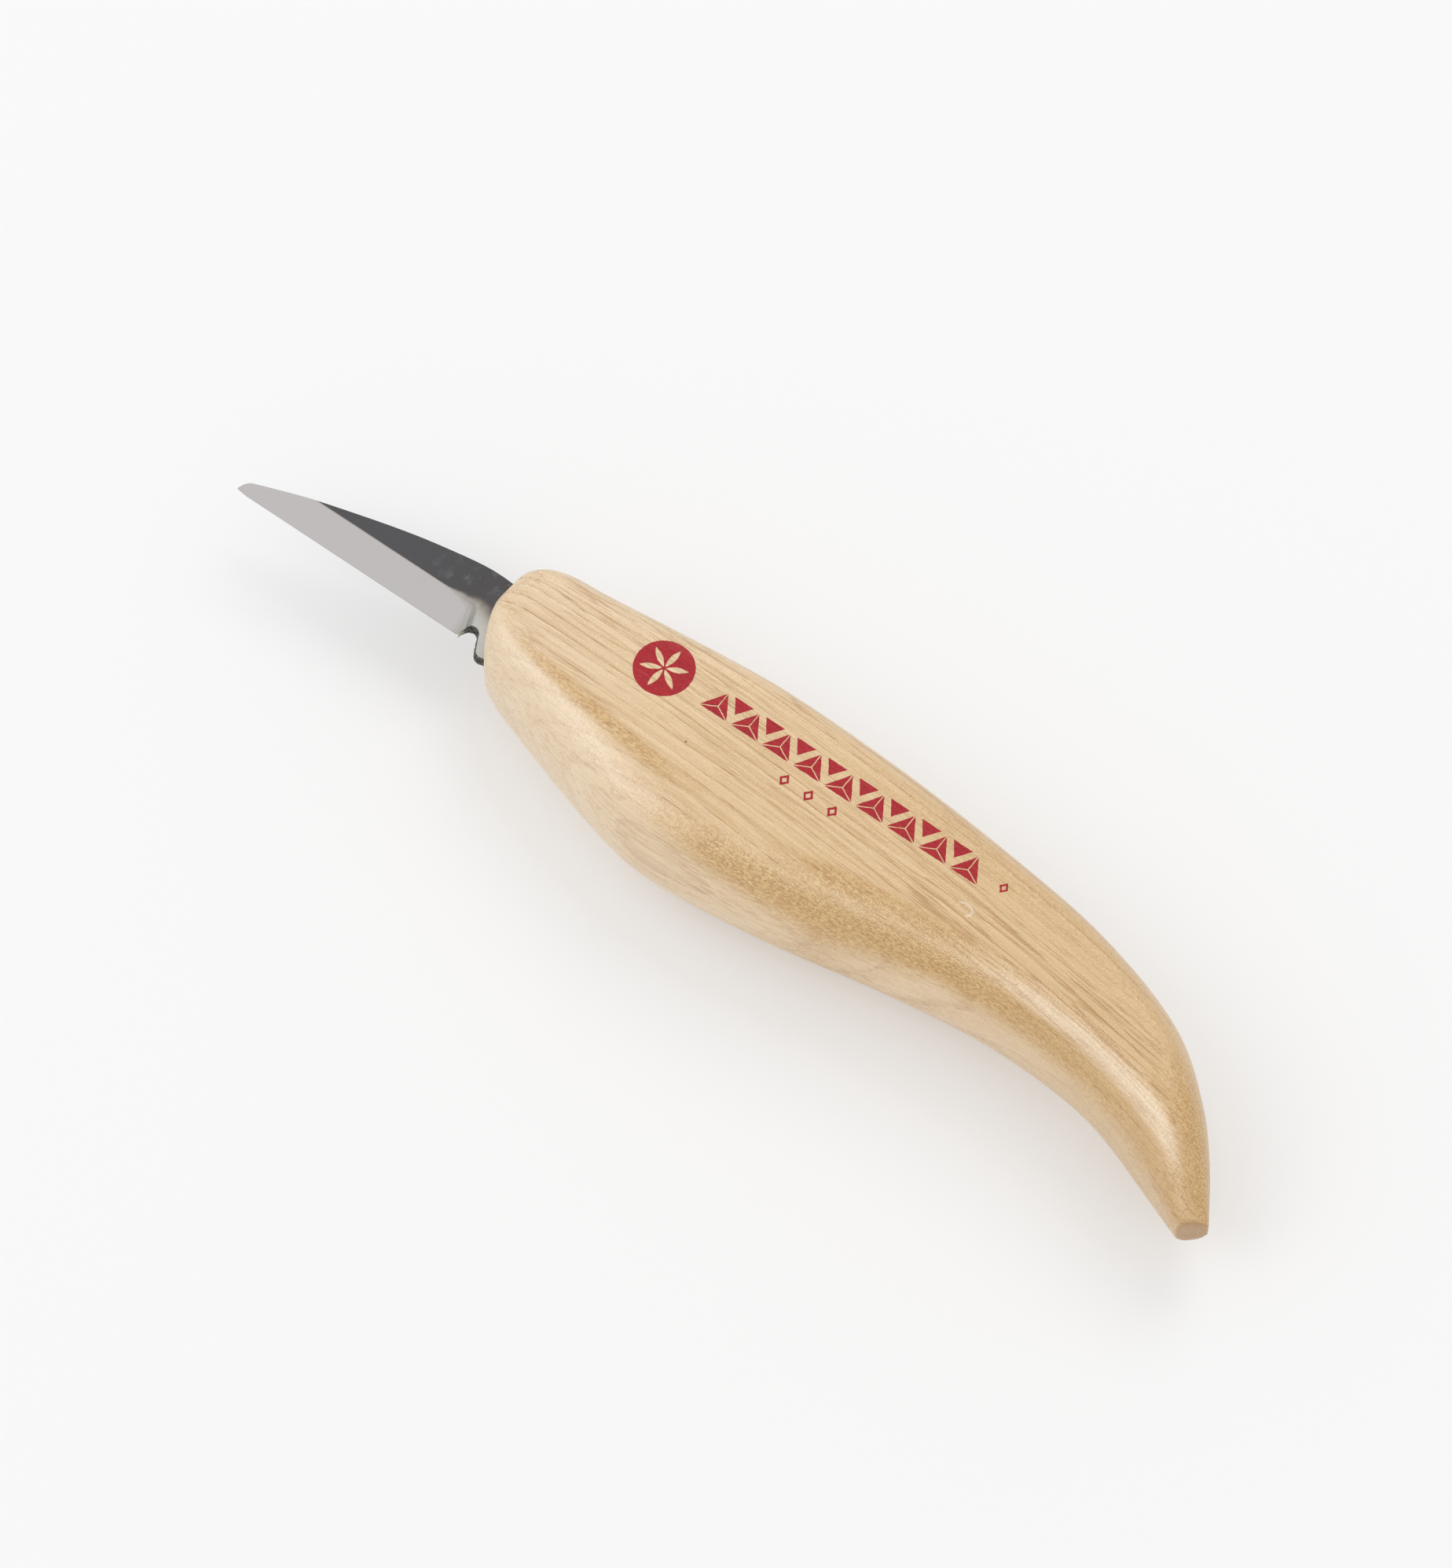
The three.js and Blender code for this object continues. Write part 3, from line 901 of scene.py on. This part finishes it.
def steel_material():
    shader = Shader("blade_steel")
    place = shader.place()
    to_tip = shader.vector("SUBTRACT", place, tuple(TIP / MM))
    along_edge = shader.node(
        "ShaderNodeVectorRotate", {"Vector": to_tip, "Angle": -EDGE_TURN},
        rotation_type="Z_AXIS",
    )
    along, up, _ = shader.split(along_edge)
    past = past_shoulder(shader, place, along, up)
    dark = shader.step(past, -0.4, 1.0)
    tint = shader.product(shader.step(past, -1.2, 0.2),
                          shader.step(past, 0.2, 1.4, 1.0, 0.0), 0.4)
    scale = scale_tone(shader, place, along_edge, along)
    colour = shader.blend(dark, ground_tone(shader, place, along, up), scale)
    colour = shader.blend(tint, colour, TINT_STEEL)

    # The walls: as dark as the scale, and torn where the steel was punched
    normal = shader.node("ShaderNodeNewGeometry", output=1)
    level = shader.math("ABSOLUTE", shader.split(normal)[2])
    wall = shader.step(level, 0.45, 0.8, 1.0, 0.0)
    torn = shader.noise(place, (4.0, 4.0, 4.0), 3, 0.7)
    torn_tone = shader.blend(shader.step(torn, 0.42, 0.66), TORN_DARK, TORN_BRIGHT)
    punched = shader.product(shader.step(along, EDGE_LENGTH - 0.4, EDGE_LENGTH),
                             shader.step(up, 1.9, 2.3, 1.0, 0.0))
    colour = shader.blend(wall, colour, shader.blend(punched, scale, torn_tone))
    torn_wall = shader.product(wall, punched)
    rough = shader.math("MAXIMUM", shader.scale(dark, 0, 1, 0.34, 0.5),
                        shader.math("MULTIPLY", torn_wall, 0.6))
    torn_relief = shader.bump(shader.product(torn, torn_wall), 0.12)
    scratch = shader.noise(along_edge, (14.0, 0.5, 1.0), 3, 0.7)
    return shader.finish(
        Base_Color=colour,
        Metallic=1.0,
        Roughness=rough,
        Normal=shader.bump(scratch, 0.006, torn_relief),
    )


# ----------------------------------------------------------------- adhesive, ornament


EPOXY_DARK = (0.42, 0.27, 0.09)
EPOXY_PALE = (0.55, 0.4, 0.17)
INK = (0.40, 0.010, 0.018)
INK_THIN = (0.23, 0.008, 0.012)
INK_SHEEN = (0.50, 0.05, 0.06)


def adhesive_material():
    shader = Shader("tang_epoxy")
    place = shader.place()
    cloudy = shader.noise(place, (0.4, 0.4, 0.4), 3)
    colour = shader.blend(cloudy, EPOXY_DARK, EPOXY_PALE)
    bubbles = shader.noise(place, (3.0, 3.0, 3.0), 1)
    return shader.finish(
        Base_Color=colour,
        Roughness=shader.scale(cloudy, 0, 1, 0.2, 0.35),
        Normal=shader.bump(bubbles, 0.02),
    )


def ink_material():
    shader = Shader("red_ink")
    seen = grain(shader)
    thin = shader.step(seen["pores"], 0.50, 0.68, 0.0, 0.55)
    colour = shader.blend(thin, INK, INK_THIN)
    # Lighter streaks along the grain: a painted sheen on the ink
    sheen_streaks = shader.step(seen["fibre"], 0.56, 0.70, 0.0, 0.5)
    colour = shader.blend(sheen_streaks, colour, INK_SHEEN)
    return shader.finish(
        Base_Color=colour,
        Roughness=shader.scale(seen["speckle"], 0, 1, 0.34, 0.46),
        IOR=1.33,
        Normal=relief(shader),
    )


# The printed ornament, in the plane of the upper flat and measured from the middle
# of the knife's box: a roundel with a six-petal rosette left bare, a border of
# chip-carving triangles, three small lozenges below it and one after it.
ROSETTE = Vector((-18.8, 3.9))
ROSETTE_RADIUS = 4.1
PETAL_RADIUS = 3.3
BORDER_START = Vector((-12.4, 4.7))
BORDER_END = Vector((32.2, 8.5))
BORDER_HEIGHT = 3.7
BORDER_CHIPS = 9
CHIP_GAP = 0.16
LOZENGES = [((3.6, 1.9), 0.95), ((7.4, 2.2), 0.95), ((11.2, 2.5), 0.95), ((34.9, 8.7), 0.85)]
INK_THICKNESS = 0.02
INK_SPACING = 0.25
INK_RAGGED = 0.05
INK_SEED = 7
FILM_SPACING = 0.5
CAST_FROM = 5


def arc(centre, radius, start, end, steps):
    """Points on an arc between two angles in degrees."""
    points = []
    for i in range(steps + 1):
        angle = math.radians(start + (end - start) * i / steps)
        points.append(centre + Vector((math.cos(angle), math.sin(angle))) * radius)
    return points


def petal(turn):
    """One petal of the rosette: two arcs that meet near its middle and at its tip."""
    base = Vector((0, 0))
    left = arc(base, PETAL_RADIUS, turn + 60, turn + 60, 1)[0]
    right = arc(base, PETAL_RADIUS, turn - 60, turn - 60, 1)[0]
    one = arc(left, PETAL_RADIUS, turn - 120, turn - 60, 12)
    other = arc(right, PETAL_RADIUS, turn + 60, turn + 120, 12)
    shift = arc(base, 0.22, turn, turn, 1)[0]
    return [ROSETTE + shift + p * 0.93 for p in one[:-1] + other[:-1]]


def drawn_in(triangle, gap):
    """A triangle with each side moved inwards by a gap."""
    a, b, c = triangle
    sides = [(b - c).length, (c - a).length, (a - b).length]
    middle = (a * sides[0] + b * sides[1] + c * sides[2]) / sum(sides)
    doubled = abs((b - a).cross(c - a))
    left = 1 - gap * sum(sides) / doubled
    return [middle + (corner - middle) * left for corner in triangle]


def chip(a, b, c):
    """A chip-carved triangle: three facets with a thin bare line between them."""
    middle = (a + b + c) / 3
    facets = [(a, b, middle), (b, c, middle), (c, a, middle)]
    return [drawn_in(facet, CHIP_GAP / 2) for facet in facets]


def border():
    """Large chips in a row, and small ones hanging between them."""
    run = BORDER_END - BORDER_START
    ahead = run.normalized()
    aside = Vector((-ahead.y, ahead.x)) * BORDER_HEIGHT / 2
    pitch = run.length / BORDER_CHIPS
    shapes = []
    for i in range(BORDER_CHIPS):
        middle = BORDER_START + ahead * pitch * (i + 0.5)
        wide = ahead * pitch * 0.47
        shapes += chip(middle - aside - wide, middle - aside + wide, middle + aside)
        if i:
            between = BORDER_START + ahead * pitch * i
            narrow = ahead * pitch * 0.30
            shapes.append([between + aside + narrow, between + aside - narrow,
                           between - aside * 0.15])
    return shapes


def lozenge(centre, size):
    across = Vector((size * 0.8, 0))
    tall = Vector((0, size))
    middle = Vector(centre)
    return [middle - across, middle - tall, middle + across, middle + tall]


# Blender seeds noise_vector by the clock if it isn't given a seed
noise.seed_set(INK_SEED)


def ragged(outline):
    """An outline with the small unevenness of ink printed on wood."""
    points = []
    for p in spread(outline, INK_SPACING):
        off = noise.noise_vector(Vector((p.x, p.y, 0)) * 2.3)
        points.append(p + off.xy * INK_RAGGED)
    return points


def ornament_mesh(handle):
    """The ornament as a film on the handle's upper face, following its surface."""
    shapes = [arc(ROSETTE, ROSETTE_RADIUS, 0, 354, 59)]
    shapes += [petal(30 + 60 * i) for i in range(6)]
    shapes += border()
    for centre, size in LOZENGES:
        shapes += [lozenge(centre, size), lozenge(centre, size * 0.5)]
    outlines = [ragged(shape) for shape in shapes]
    spots = np.array([tuple(p) for outline in outlines for p in outline])
    within = lattice(spots.min(axis=0), spots.max(axis=0), FILM_SPACING)
    points, triangles = fill(outlines, within)
    surface = BVHTree.FromObject(handle, bpy.context.evaluated_depsgraph_get())
    heights = []
    for x, y in points:
        above = Vector((x * MM, y * MM, CAD_HIGH.z + CAST_FROM * MM))
        heights.append(surface.ray_cast(above, Vector((0, 0, -1)))[0].z / MM)
    heights = np.array(heights)
    return slab_mesh("printed_ornament", points, triangles, heights + INK_THICKNESS,
                     heights - INK_THICKNESS)[0]


# ----------------------------------------------------------------------------- floor


FLOOR_HALF = 4000 * MM
FLOOR_PAINT = (0.64, 0.64, 0.64)
FLOOR_GLOW = 0.276


def add_floor():
    """A plain pale floor. It glows a little, so that it stays pale round the knife."""
    mesh = bpy.data.meshes.new("floor")
    turns = ((-1, -1), (1, -1), (1, 1), (-1, 1))
    corners = [(x * FLOOR_HALF, y * FLOOR_HALF, 0) for x, y in turns]
    mesh.from_pydata(corners, [], [(0, 1, 2, 3)])
    floor = bpy.data.objects.new("floor", mesh)
    bpy.context.scene.collection.objects.link(floor)
    shader = Shader("floor")
    shader.finish(
        Base_Color=FLOOR_PAINT,
        Roughness=1.0,
        Specular_IOR_Level=0.0,
        Emission_Color=(1, 1, 1),
        Emission_Strength=FLOOR_GLOW,
    )
    mesh.materials.append(shader.material)


# -------------------------------------------------------------------------- assembly

add_camera()
add_lighting()
add_floor()

handle = add_piece("ash_handle", handle_mesh(), ash_material(), "lacquered_ash", "handle")
add_piece("steel_blade", blade_mesh(), steel_material(), "blade_steel", "blade_with_tang")
add_piece("printed_ornament", ornament_mesh(handle), ink_material(), "red_ink")

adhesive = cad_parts["tang_adhesive"]
adhesive.data.materials.clear()
adhesive.data.materials.append(adhesive_material())
